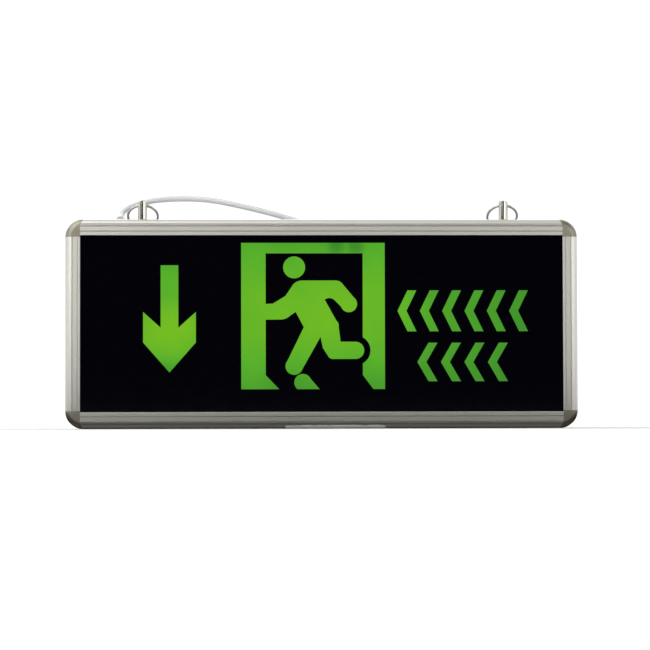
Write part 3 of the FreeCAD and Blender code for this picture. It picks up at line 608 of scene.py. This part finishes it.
# the spline's control points, from the exit to the coil's front
CORD_ROUTE_MM = [
    (-140, 3.5, 145.8),
    (-139.8, 9.0, 150.4),
    (-137.6, 16.0, 153.4),
    (-133.4, 22.6, 156.4),
    (-126.6, 28.6, 159.4),
    (-116.5, 33.4, 161.9),
    (-104.0, 35.4, 163.0),
    (-92.0, 35.2, 163.1),
    (-77, 33.5, 162.1),
    (-57, 31, 157.8),
    (-36, 28.5, 152.6),
    (-16, 26, 146.4),
    (3, 24.5, 137),
    (19, 23.5, 122),
    (29, 23, 102),
    (33, 23, 80),
    (32, 23, 58),
    (26, 23.5, 37),
    (14, 23, 19),
    (-3, 21, 7.5),
    (-21, 18.4, 2.1),
    (-35, 17.9, 2.1),
]
# and from the coil's top to the sheath's end
CORD_END_MM = [(-64, 17.6, 6.0), (-76, 18.6, 2.5), (-88, 21.5, 2.1)]
COIL_CENTRE = Vector((-50 * MM, 44 * MM, 0))
POINTS_A_TURN = 24


def coil_points(settings):
    """The spare length, clockwise from its front: two turns on the floor, then two on top."""
    half = settings.diameter / 2
    # each turn's place outwards and upwards, in half diameters
    layers = [(1, 1), (-1, 1), (-1, 3), (1, 3)]
    last_quarter = 0.75
    # makes up for the spline cutting inside its control points
    fuller = 1 / math.cos(math.pi / POINTS_A_TURN)
    points = []
    for turn in range(settings.turns):
        ring, height = layers[turn]
        following = layers[min(turn + 1, settings.turns - 1)]
        for step in range(POINTS_A_TURN):
            done = step / POINTS_A_TURN
            change = max(0.0, (done - last_quarter) / (1 - last_quarter))
            out = ring + (following[0] - ring) * change
            lift = height + (following[1] - height) * change
            radius = (settings.spread + half * out) * fuller
            turned = -math.pi / 2 - math.tau * done
            around = Vector((math.cos(turned), math.sin(turned), 0)) * radius
            points.append(COIL_CENTRE + around + UP * half * lift)
    return points


class EXITLIGHT_OT_supply_cord(bpy.types.Operator):
    """Make the supply cord, its spare coil, the tie and the two cores"""

    bl_idname = "exit_light.supply_cord"
    bl_label = "Supply Cord"

    def execute(self, context):
        settings = context.scene.exit_light_cord
        route = [Vector(point) * MM for point in CORD_ROUTE_MM]
        tail = [Vector(point) * MM for point in CORD_END_MM]
        line = route + coil_points(settings) + tail
        white = sheath("pale_sheath", settings.sheath)
        cord = cord_curve("supply_cord_sheath", line, settings.diameter / 2, white)
        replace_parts(cord, "supply_cord", "cord_coil", "cord_end")
        along = (tail[-1] - tail[-2]).normalized()
        on_it = [self.tie(settings)] + self.cores(settings, tail[-1], along)
        return {"FINISHED"}

    def tie(self, settings):
        """A nylon band round the four turns, with its locking head outside."""
        width, thick, head = 4.6 * MM, 0.5 * MM, 4.4 * MM
        bundle = settings.diameter * 2
        centre = COIL_CENTRE + RIGHT * settings.spread + UP * settings.diameter
        shape = bmesh.new()
        bmesh.ops.create_grid(shape, x_segments=1, y_segments=1, size=bundle / 2)
        bmesh.ops.bevel(
            shape,
            geom=shape.verts[:],
            offset=settings.diameter / 2,
            segments=7,
            profile=0.5,
            affect="VERTICES",
            material=-1,
        )
        flat = shape.faces[:]
        raised = bmesh.ops.extrude_face_region(shape, geom=flat)
        lifted = [part for part in raised["geom"] if isinstance(part, bmesh.types.BMVert)]
        bmesh.ops.translate(shape, verts=lifted, vec=UP * width)
        ends = [face for face in shape.faces if abs(face.normal.z) > 0.9]
        bmesh.ops.delete(shape, geom=ends, context="FACES_ONLY")
        bmesh.ops.recalc_face_normals(shape, faces=shape.faces)
        bmesh.ops.solidify(shape, geom=shape.faces[:], thickness=-thick)
        block = bmesh.ops.create_cube(shape, size=1.0)["verts"]
        bmesh.ops.scale(shape, verts=block, vec=(3.2 * MM, head, head * 1.1))
        beside = Vector((bundle / 2 + thick + 1.2 * MM, 0.6 * MM, width / 2))
        bmesh.ops.translate(shape, verts=block, vec=beside)
        block_edges = {edge for vert in block for edge in vert.link_edges}
        bmesh.ops.bevel(
            shape,
            geom=list(block_edges),
            offset=0.5 * MM,
            segments=3,
            profile=0.5,
            affect="EDGES",
            material=-1,
        )
        stand = Matrix.Rotation(math.pi / 2, 4, "X")
        bmesh.ops.transform(shape, matrix=stand, verts=shape.verts)
        middle = centre + REARWARD * (width / 2)
        bmesh.ops.translate(shape, verts=shape.verts, vec=middle)
        under = [vert for vert in shape.verts if vert.co.z < 0]
        bmesh.ops.translate(shape, verts=under, vec=UP * thick)
        nylon = moulded("nylon_band", (0.70, 0.70, 0.68), 0.38, 900.0)
        band = finished("coil_tie", shape, nylon)
        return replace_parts(band, "cord_tie")

    def cores(self, settings, start, along):
        """Brown and blue, out of the sheath and apart, each in a crimped end."""
        level = Vector((along.x, along.y, 0)).normalized()
        across = Vector((-level.y, level.x, 0))
        lower = UP * (1.05 * MM - settings.diameter / 2)
        crimps = bmesh.new()
        pieces = []
        # along, sideways, and share of the way down to the floor
        run = ((-1.5, 0.95, 0.0), (5, 1.1, 0.4), (10, 1.4, 1.0), (20, 3.5, 1.0))
        insulation = (("brown", 1, (0.085, 0.026, 0.010)), ("blue", -1, (0.012, 0.055, 0.30)))
        for name, side, tint in insulation:
            points = [
                start + level * ahead * MM + across * side * aside * MM + lower * down
                for ahead, aside, down in run
            ]
            skin = sheath(f"{name}_insulation", tint, 0.3)
            core = cord_curve(f"{name}_core_insulation", points, settings.core / 2, skin)
            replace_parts(core, f"{name}_core")
            self.crimp(crimps, points[-1], points[-1] - points[-2])
            pieces.append(core)
        metal = polished("tinned_crimps", (0.66, 0.66, 0.63), 0.2)
        ferrules = finished("crimped_ends", crimps, metal)
        return pieces + [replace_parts(ferrules, "core_ferrules")]

    def crimp(self, shape, foot, axis):
        """A funnel collar, then a pin pressed into three waists."""
        collar = [(0.0, 0.0), (1.03, 0.0), (1.03, 2.2), (0.62, 3.0)]
        waists = [(0.60, 3.6), (0.50, 4.1), (0.60, 4.6), (0.50, 5.3)]
        waists += [(0.60, 6.0), (0.50, 6.7), (0.60, 7.4)]
        tip = [(0.58, 8.8), (0.48, 9.0), (0.0, 9.0)]
        profile = [(radius * MM, along * MM) for radius, along in collar + waists + tip]
        lathe(shape, profile, foot, axis, 24)


class EXITLIGHT_OT_cable_grommet(bpy.types.Operator):
    """Make the soft bush and tapered sleeve that the cord leaves by"""

    bl_idname = "exit_light.cable_grommet"
    bl_label = "Cable Grommet"

    def execute(self, context):
        cord = context.scene.exit_light_cord
        entry = Vector(CORD_ROUTE_MM[0]) * MM
        lean = Vector(CORD_ROUTE_MM[1]) * MM - entry
        bore = cord.diameter / 2 + 0.05 * MM
        shape = bmesh.new()
        foot = Vector((entry.x, entry.y, TOP_Z))
        rim = [(4.3, 0.02), (4.4, 0.3), (4.3, 0.75), (3.9, 1.0), (3.2, 1.05)]
        collar = [(bore, 0.02 * MM)] + [(radius * MM, rise * MM) for radius, rise in rim]
        collar += [(bore, 1.05 * MM), (bore, 0.02 * MM)]
        lathe(shape, collar, foot, UP, 48)
        sleeve = [(bore, 0.3 * MM)]
        ribs = 3
        long, wide, narrow = 3.4 * MM, 3.0 * MM, 2.35 * MM
        for i in range(ribs):
            for part, inward in ((0.10, 0.0), (0.55, 0.0), (0.70, 0.16), (0.95, 0.16)):
                along = (i + part) / ribs
                radius = wide + (narrow - wide) * along - inward * MM
                sleeve.append((radius, 0.6 * MM + (long - 0.9 * MM) * along))
        sleeve += [(narrow - 0.1 * MM, long - 0.15 * MM), (narrow - 0.25 * MM, long), (bore, long)]
        sleeve.append(sleeve[0])
        lathe(shape, sleeve, entry, lean, 40)
        rubber = moulded("pale_rubber", (0.86, 0.86, 0.85), 0.55, 1200.0, 0.02)
        bush = finished("grommet_sleeve", shape, rubber, crease=38.0)
        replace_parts(bush, "cable_grommet")
        return {"FINISHED"}


# ------------------------------------------------------------------ hangers


class EXITLIGHT_OT_split_rings(bpy.types.Operator):
    """Make the two split rings, each of two flat turns of wire"""

    bl_idname = "exit_light.split_rings"
    bl_label = "Split Rings"

    def execute(self, context):
        settings = context.scene.exit_light_ring
        metal = polished("ring_plating", settings.metal, 0.16)
        for side in ("left", "right"):
            ring = self.ring(side, settings, metal)
            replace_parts(ring, f"{side}_hanger_ring")
        return {"FINISHED"}

    def ring(self, side, settings, metal):
        """The wire goes once round low, crosses over in a short jog, and once round high."""
        lean = ring_lean()
        along = Vector((0, math.cos(lean), -math.sin(lean)))
        axis = Vector((0, math.sin(lean), math.cos(lean)))
        centre = ring_pivot(side) + along * settings.reach
        turn = settings.thick / 2 - 0.01 * MM
        soft = 0.16 * MM
        half_wide, half_turn = settings.wide / 2, turn / 2
        low = -settings.thick / 4
        corners = [
            (-half_wide, -half_turn + soft),
            (-half_wide, half_turn - soft),
            (-half_wide + soft, half_turn),
            (half_wide - soft, half_turn),
            (half_wide, half_turn - soft),
            (half_wide, -half_turn + soft),
            (half_wide - soft, -half_turn),
            (-half_wide + soft, -half_turn),
        ]
        start = Matrix.Rotation(math.radians(25), 3, axis) @ RIGHT
        section = [
            centre + start * (settings.radius + out) + axis * (low + rise) for out, rise in corners
        ]
        jog = math.radians(26)
        flat = math.tau - jog
        stages = [(flat, 0.0, 60), (jog, settings.thick / 2, 8), (flat, 0.0, 60)]
        shape = bmesh.new()
        bent_bar(shape, section, centre, axis, stages)
        return finished(f"{side}_split_ring", shape, metal, f"{side}_ring", crease=50.0)


class EXITLIGHT_OT_hangers(bpy.types.Operator):
    """Finish the turned posts, and the washers and nuts under the top rail"""

    bl_idname = "exit_light.hangers"
    bl_label = "Hangers"

    def execute(self, context):
        nickel = polished("post_plating", context.scene.exit_light_frame.posts, 0.06)
        for side in ("left", "right"):
            rounded_copy(f"{side}_hanger_post", nickel)
        steel = zinc("zinc_plated_steel")
        for node in ("hanger_washers", "hanger_nuts"):
            rounded_copy(node, steel)
        return {"FINISHED"}


# ------------------------------------------------------------------ frame and panel


class EXITLIGHT_OT_frame(bpy.types.Operator):
    """Finish the four rails, the corner caps and their screws"""

    bl_idname = "exit_light.frame"
    bl_label = "Frame"

    def execute(self, context):
        settings = context.scene.exit_light_frame
        level = anodised("anodised_along_x", settings.aluminium, "X")
        upright = anodised("anodised_along_z", settings.aluminium, "Z")
        for node, metal in (
            ("top_rail", level),
            ("bottom_rail", level),
            ("left_rail", upright),
            ("right_rail", upright),
        ):
            rounded_copy(node, metal, crease=24.0)
        plating = cast_plating("corner_plating", settings.plating)
        for height in ("top", "bottom"):
            for side in ("left", "right"):
                rounded_copy(f"{height}_{side}_corner_cap", plating, crease=24.0)
        rounded_copy("corner_cap_screws", zinc("cap_screw_steel"))
        return {"FINISHED"}


class EXITLIGHT_OT_panel(bpy.types.Operator):
    """Finish the print, the sheets behind it and the back plate"""

    bl_idname = "exit_light.panel"
    bl_label = "Panel"

    def execute(self, context):
        settings = context.scene.exit_light_panel
        repaint(["panel_black_field"], glossy_black("printed_black", settings.black))
        green = [node for node in frame["nodes"] if material_slot(node) == "print_green"]
        repaint(green, backlit_green("backlit_green", settings))
        repaint(["front_panel"], acrylic("clear_acrylic", (0.80, 0.82, 0.81), 0.08))
        repaint(["diffuser_sheet"], acrylic("milk_acrylic", (0.86, 0.86, 0.84), 0.4))
        paint = context.scene.exit_light_frame.paint
        repaint(["back_plate"], powder_coat("back_paint", paint))
        return {"FINISHED"}


# ------------------------------------------------------------------ indicators and inner parts


class EXITLIGHT_OT_indicators(bpy.types.Operator):
    """Finish the indicator plate, its lamps, the test button and the switch"""

    bl_idname = "exit_light.indicators"
    bl_label = "Indicators"

    def execute(self, context):
        rounded_copy("indicator_plate", moulded("plate_moulding", (0.40, 0.40, 0.375), 0.42))
        lamps = {
            "mains_lamp": (0.05, 0.42, 0.06),
            "charge_lamp": (0.50, 0.02, 0.015),
            "fault_lamp": (0.62, 0.26, 0.01),
        }
        for node, tint in lamps.items():
            rounded_copy(node, tinted_lamp(f"{node}_body", tint))
        red = moulded("button_moulding", (0.48, 0.025, 0.02), 0.30)
        rounded_copy("test_button", red, "test_button")
        repaint(["switch_plunger"], moulded("plunger_moulding", (0.03, 0.03, 0.03), 0.4))
        repaint(["test_switch"], moulded("switch_moulding", (0.022, 0.022, 0.024), 0.45))
        repaint(["indicator_board"], circuit_board("small_board_mask"))
        return {"FINISHED"}


class EXITLIGHT_OT_inner_parts(bpy.types.Operator):
    """Finish the light tray, the boards, the cells and the leads inside"""

    bl_idname = "exit_light.inner_parts"
    bl_label = "Inner Parts"

    def execute(self, context):
        mask = circuit_board("board_mask")
        steel = zinc("small_screw_steel")
        nylon = moulded("white_nylon", (0.78, 0.78, 0.76), 0.42)
        black = moulded("black_package", (0.02, 0.02, 0.021), 0.5)
        red_lead = sheath("red_lead", (0.42, 0.02, 0.015), 0.32)
        pale_lead = sheath("inner_pale_sheath", context.scene.exit_light_cord.sheath)
        repaint(["reflector_tray"], moulded("white_reflector", (0.86, 0.86, 0.85), 0.6, 700.0))
        repaint(["upper_led_board", "lower_led_board", "driver_board"], mask)
        repaint(["upper_leds", "lower_leds"], phosphor("lamp_phosphor"))
        repaint(["led_board_screws", "board_screws", "terminal_screws"], steel)
        repaint(["terminal_block", "board_standoffs"], nylon)
        repaint(["control_chips"], black)
        repaint(["battery_cradle"], moulded("cradle_moulding", (0.028, 0.028, 0.03), 0.5))
        repaint(["transformer"], taped_winding("taped_winding"))
        rounded_copy("filter_capacitors", moulded("capacitor_film", (0.02, 0.025, 0.07), 0.22))
        rounded_copy("battery_pack", moulded("cell_wrap", (0.03, 0.16, 0.36), 0.25, 300.0))
        rounded_copy("mains_lead", pale_lead)
        for node in ("led_lead", "battery_lead"):
            rounded_copy(node, red_lead)
        return {"FINISHED"}


# ------------------------------------------------------------------ stage

# name, place, width, height, brightness of the lit face
SOFTBOXES = (
    ("overhead", (0.1, 0.95, 1.6), 3.0, 1.7, 0.85),
    ("overhead_left", (-1.1, 0.45, 1.4), 1.1, 1.1, 1.3),
    ("overhead_strip_left", (-0.84, -0.75, 1.4), 1.0, 1.5, 2.9),
    ("overhead_strip", (0.2, -0.75, 1.45), 0.9, 1.5, 0.8),
    ("front_left", (-1.08, -1.66, 0.60), 1.6, 0.5, 3.6),
    ("front_right", (1.04, -1.58, 0.52), 0.9, 0.64, 2.6),
    ("left_side", (-1.8, -0.7, 0.6), 0.9, 1.0, 0.9),
    ("right_side", (1.7, -0.9, 0.6), 0.9, 1.0, 1.6),
    ("rear", (0.3, 2.1, 1.2), 1.8, 1.0, 1.1),
)


def aimed(obj, place, target):
    """Puts a lamp or camera at a place and turns it to a target."""
    obj.location = place
    obj.rotation_euler = (target - place).to_track_quat("-Z", "Y").to_euler()
    bpy.context.scene.collection.objects.link(obj)


def softbox(name, place, target, width, height, radiance):
    """A wide lamp whose face is as bright as a card of that lightness."""
    lamp = bpy.data.lights.new(name, "AREA")
    lamp.shape = "RECTANGLE"
    lamp.size = width
    lamp.size_y = height
    lamp.energy = radiance * math.pi * width * height
    aimed(bpy.data.objects.new(name, lamp), place, target)


def seen(finish):
    """1 for rays from the camera and for what gloss and clear parts show."""
    paths = [
        finish.node("ShaderNodeLightPath", output=title)
        for title in ("Is Camera Ray", "Is Glossy Ray", "Is Transmission Ray")
    ]
    return (paths[0] + paths[1] + paths[2]).at_most(1.0)


def stage_sheet(name, matrix, size, material):
    """A flat square of the stage."""
    shape = bmesh.new()
    bmesh.ops.create_grid(shape, x_segments=1, y_segments=1, size=size, matrix=matrix)
    mesh = bpy.data.meshes.new(name)
    shape.to_mesh(mesh)
    shape.free()
    mesh.materials.append(material)
    sheet = bpy.data.objects.new(name, mesh)
    bpy.context.scene.collection.objects.link(sheet)


class EXITLIGHT_OT_stage(bpy.types.Operator):
    """Make the camera, the floor, the backdrop and the studio light"""

    bl_idname = "exit_light.stage"
    bl_label = "Stage"

    def execute(self, context):
        settings = context.scene.exit_light_stage
        self.camera(context, settings)
        self.floor(settings)
        self.backdrop()
        self.world(context)
        middle = Vector((0, 0, MIDDLE_Z))
        for name, place, width, height, radiance in SOFTBOXES:
            softbox(name, Vector(place), middle, width, height, radiance)
        context.scene.view_settings.view_transform = "Standard"
        return {"FINISHED"}

    def camera(self, context, settings):
        """Just over the floor and a little to the panel's left, aimed at its middle."""
        data = bpy.data.cameras.new("camera")
        data.lens = data.sensor_width * settings.distance / settings.span
        data.clip_end = 30
        camera = bpy.data.objects.new("camera", data)
        target = Vector((1.9 * MM, FRONT_Y, MIDDLE_Z - 1.0 * MM))
        back = Vector((-math.sin(settings.yaw), -math.cos(settings.yaw), 0)) * settings.distance
        stand = target + back
        stand.z = settings.eye_height
        aimed(camera, stand, target)
        camera.rotation_euler.rotate_axis("Z", -settings.roll)
        context.scene.camera = camera

    def floor(self, settings):
        """Plain and pale near the object, where its shadow shows, and white further out.

        Gloss sees a darker floor close to the object, a painted shade that keeps the frame's lower shoulders dark.
        """
        finish = Finish("floor_card", roughness=0.9, specular=0.1)
        fibre = finish.noise(8, 2.0)
        beside = (abs(finish.axis("X")) - HALF_LENGTH).at_least(0.0)
        before = (abs(finish.axis("Y")) + FRONT_Y).at_least(0.0)
        away = (beside ** 2.0 + before ** 2.0) ** 0.5
        # white begins 50 mm away, and is whole 0.82 m away
        white = ((away - 0.05) * 1.3).within_one()
        glossy = finish.node("ShaderNodeLightPath", output="Is Glossy Ray")
        # painted shade seen in gloss up to 60 mm away, and none past 0.39 m
        close = (1 - (away - 0.06) * 3.0).within_one()
        # the painted shade is a little paler right under the object
        under = glossy * close * (0.74 + (away * 60).at_most(0.26))
        card = finish.shade(settings.floor, fibre, 0.99, 1.01)
        # painted shade: where gloss sees the floor close to the object, it turns near black and gives no white
        # light
        finish.set("base_color", finish.mix(under, card, (0.04, 0.04, 0.038)))
        light = finish.mix(white * seen(finish) * (1 - under), (0, 0, 0), (1, 1, 1))
        finish.set("emission_color", light)
        finish.set("emission_strength", 1.0)
        below = Matrix.Translation((0, 0, -0.05 * MM))
        stage_sheet("floor", below, 9.0, finish.material)

    def backdrop(self):
        """Three walls far behind, white to the camera, in gloss and through clear parts."""
        finish = Finish("backdrop_card", roughness=0.9, specular=0.0)
        haze = finish.noise(1, 2.0)
        finish.set("base_color", finish.shade((0.5, 0.5, 0.5), haze, 0.99, 1.01))
        finish.set("emission_color", finish.mix(seen(finish), (0, 0, 0), (1, 1, 1)))
        finish.set("emission_strength", 1.0)
        standing = Matrix.Rotation(math.pi / 2, 4, "X")
        turned = Matrix.Rotation(math.pi / 2, 4, "Z") @ standing
        walls = (
            ("back", (0, 5, 0), standing),
            ("left", (-5, 4, 0), turned),
            ("right", (5, 4, 0), turned),
        )
        for name, place, turn in walls:
            stage_sheet(f"backdrop_{name}", Matrix.Translation(place) @ turn, 5.0, finish.material)

    def world(self, context):
        """A room that is dark at eye level and brighter overhead."""
        world = bpy.data.worlds.new("studio")
        world.use_nodes = True
        room = Nodes(world.node_tree)
        toward = room.node("ShaderNodeTexCoord", output="Generated")
        height = room.node("ShaderNodeSeparateXYZ", {0: toward}, output="Z")
        level = room.mix(height, (0.05, 0.05, 0.055), (0.30, 0.30, 0.31))
        room.feed(room.tree.nodes["Background"].inputs["Color"], level)
        context.scene.world = world


# ------------------------------------------------------------------ sidebar and running


OPERATORS = (
    EXITLIGHT_OT_stage,
    EXITLIGHT_OT_supply_cord,
    EXITLIGHT_OT_cable_grommet,
    EXITLIGHT_OT_split_rings,
    EXITLIGHT_OT_hangers,
    EXITLIGHT_OT_frame,
    EXITLIGHT_OT_panel,
    EXITLIGHT_OT_indicators,
    EXITLIGHT_OT_inner_parts,
)
SETTINGS = {
    "exit_light_cord": CordSettings,
    "exit_light_ring": RingSettings,
    "exit_light_frame": FrameSettings,
    "exit_light_panel": PanelSettings,
    "exit_light_stage": StageSettings,
}


class EXITLIGHT_PT_sidebar(bpy.types.Panel):
    """The exit light's pieces and their settings"""

    bl_idname = "EXITLIGHT_PT_sidebar"
    bl_label = "Exit Light"
    bl_space_type = "VIEW_3D"
    bl_region_type = "UI"
    bl_category = "Exit Light"

    def draw(self, context):
        for operator in OPERATORS:
            self.layout.operator(operator.bl_idname)
        for name, settings in SETTINGS.items():
            group = getattr(context.scene, name)
            box = self.layout.box()
            for prop in settings.__annotations__:
                box.prop(group, prop)


def register():
    """Adds the settings, the operators and the sidebar."""
    for name, settings in SETTINGS.items():
        bpy.utils.register_class(settings)
        setattr(bpy.types.Scene, name, PointerProperty(type=settings))
    for operator in OPERATORS:
        bpy.utils.register_class(operator)
    bpy.utils.register_class(EXITLIGHT_PT_sidebar)


def unregister():
    """Takes the sidebar, the operators and the settings away again."""
    bpy.utils.unregister_class(EXITLIGHT_PT_sidebar)
    for operator in reversed(OPERATORS):
        bpy.utils.unregister_class(operator)
    for name, settings in SETTINGS.items():
        delattr(bpy.types.Scene, name)
        bpy.utils.unregister_class(settings)


def main():
    """Makes every piece and the stage."""
    register()
    for operator in OPERATORS:
        group, name = operator.bl_idname.split(".")
        getattr(getattr(bpy.ops, group), name)()


if __name__ == "__main__":
    main()
